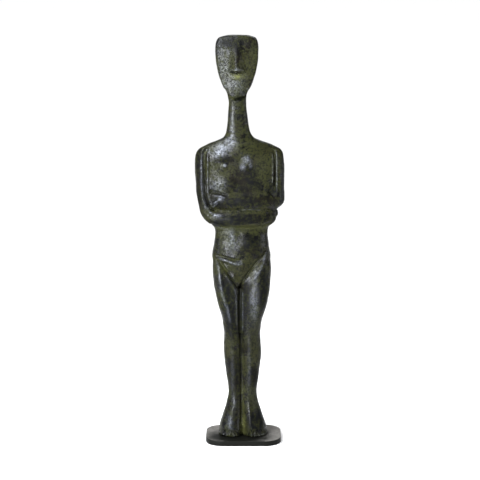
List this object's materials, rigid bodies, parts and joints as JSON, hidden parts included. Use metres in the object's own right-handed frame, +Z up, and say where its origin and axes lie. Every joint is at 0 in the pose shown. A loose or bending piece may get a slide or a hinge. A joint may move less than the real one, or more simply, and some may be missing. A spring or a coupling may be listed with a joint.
{
  "type": "cycladic figurine",
  "caption": "Slim cast figurine with a shield-shaped face, a long neck and folded arms, standing on a thin rounded plinth plate.",
  "frame": {"origin": "centre of the plinth's underside", "axes": "+Z up the figure, the face looks along -Y, +X towards the figure's own left arm"},
  "size_m": [0.0543, 0.034, 0.25],
  "materials": {
    "figure": "green-black patina, glossy lacquer",
    "plinth": "grey-brown patina, satin"
  },
  "bodies": {
    "root": {"figure": "figure", "plinth": "plinth"}
  },
  "joints": []
}
